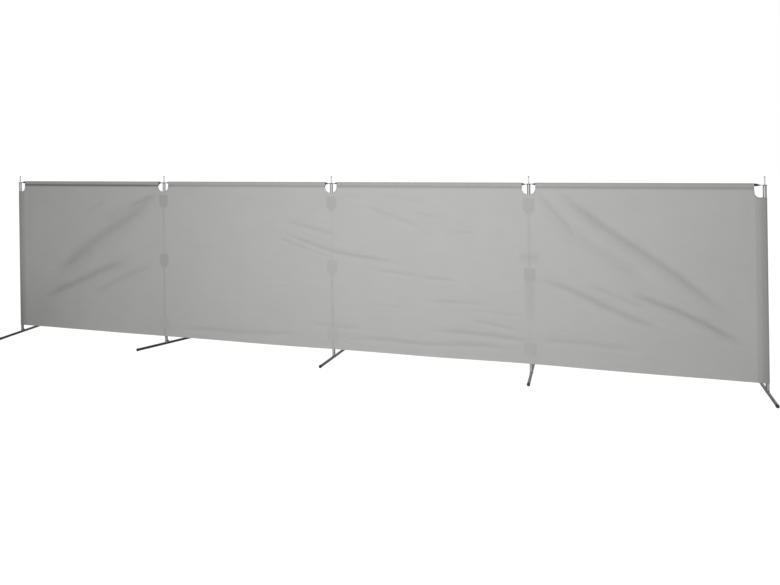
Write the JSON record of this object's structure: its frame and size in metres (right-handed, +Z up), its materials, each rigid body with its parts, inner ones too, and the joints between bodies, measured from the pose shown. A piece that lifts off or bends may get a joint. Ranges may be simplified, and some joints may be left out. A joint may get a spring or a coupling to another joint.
{
  "type": "folding beach windbreak",
  "caption": "Free-standing windbreak: cloth bays hung on steel poles with crushed-end top rods and bar feet.",
  "frame": {"origin": "on the ground at the middle pole's axis, which is the middle of the row", "axes": "+X along the row from the first pole to the last, the cloth on the -Y side of the poles, +Z up"},
  "size_m": [6.4591, 0.58, 1.49],
  "materials": {
    "pole_steel": "bright zinc-plated tube",
    "rod_steel": "zinc-plated tube, darker at the crushed ends",
    "pin_steel": "bright turned steel",
    "foot_steel": "dark grey coated tube",
    "black_plastic": "moulded black plugs",
    "grey_cloth": "plain woven coated cloth with creases",
    "loop_cloth": "the same cloth, doubled"
  },
  "bodies": {
    "bay_1": {"top_rod_1": "rod_steel", "cloth_panel_1": "grey_cloth"},
    "bay_2": {"top_rod_2": "rod_steel", "cloth_panel_2": "grey_cloth", "pole_loops_2": "loop_cloth", "pole_loops_3": "loop_cloth"},
    "bay_3": {"top_rod_3": "rod_steel", "cloth_panel_3": "grey_cloth", "pole_loops_4": "loop_cloth"},
    "bay_4": {"top_rod_4": "rod_steel", "cloth_panel_4": "grey_cloth"},
    "post_1": {"pole_1": "pole_steel", "pole_pin_1": "pin_steel", "foot_1": "foot_steel", "foot_plugs_1": "black_plastic"},
    "post_2": {"pole_2": "pole_steel", "pole_pin_2": "pin_steel", "foot_2": "foot_steel", "foot_plugs_2": "black_plastic"},
    "post_3": {"pole_3": "pole_steel", "pole_pin_3": "pin_steel", "foot_3": "foot_steel", "foot_plugs_3": "black_plastic"},
    "post_4": {"pole_4": "pole_steel", "pole_pin_4": "pin_steel", "foot_4": "foot_steel", "foot_plugs_4": "black_plastic"},
    "post_5": {"pole_5": "pole_steel", "pole_pin_5": "pin_steel", "foot_5": "foot_steel", "foot_plugs_5": "black_plastic"}
  },
  "joints": [
    {"name": "bay_1_fold", "type": "hinge", "parent": "bay_2", "child": "bay_1", "pos_m": [-1.6, 0, 0], "axis": [0, 0, 1], "range_deg": [-90, 90]},
    {"name": "bay_3_fold", "type": "hinge", "parent": "bay_2", "child": "bay_3", "pos_m": [0, 0, 0], "axis": [0, 0, 1], "range_deg": [-90, 90]},
    {"name": "bay_4_fold", "type": "hinge", "parent": "bay_3", "child": "bay_4", "pos_m": [1.6, 0, 0], "axis": [0, 0, -1], "range_deg": [-90, 90]},
    {"name": "post_1_turn", "type": "hinge", "parent": "bay_1", "child": "post_1", "pos_m": [-3.2, 0, 0], "axis": [0, 0, 1], "range_deg": [-60, 60]},
    {"name": "post_2_turn", "type": "hinge", "parent": "bay_2", "child": "post_2", "pos_m": [-1.6, 0, 0], "axis": [0, 0, 1], "range_deg": [-60, 60]},
    {"name": "post_3_turn", "type": "hinge", "parent": "bay_2", "child": "post_3", "pos_m": [0, 0, 0], "axis": [0, 0, 1], "range_deg": [-60, 60]},
    {"name": "post_4_turn", "type": "hinge", "parent": "bay_3", "child": "post_4", "pos_m": [1.6, 0, 0], "axis": [0, 0, 1], "range_deg": [-60, 60]},
    {"name": "post_5_turn", "type": "hinge", "parent": "bay_4", "child": "post_5", "pos_m": [3.2, 0, 0], "axis": [0, 0, 1], "range_deg": [-60, 60]}
  ]
}
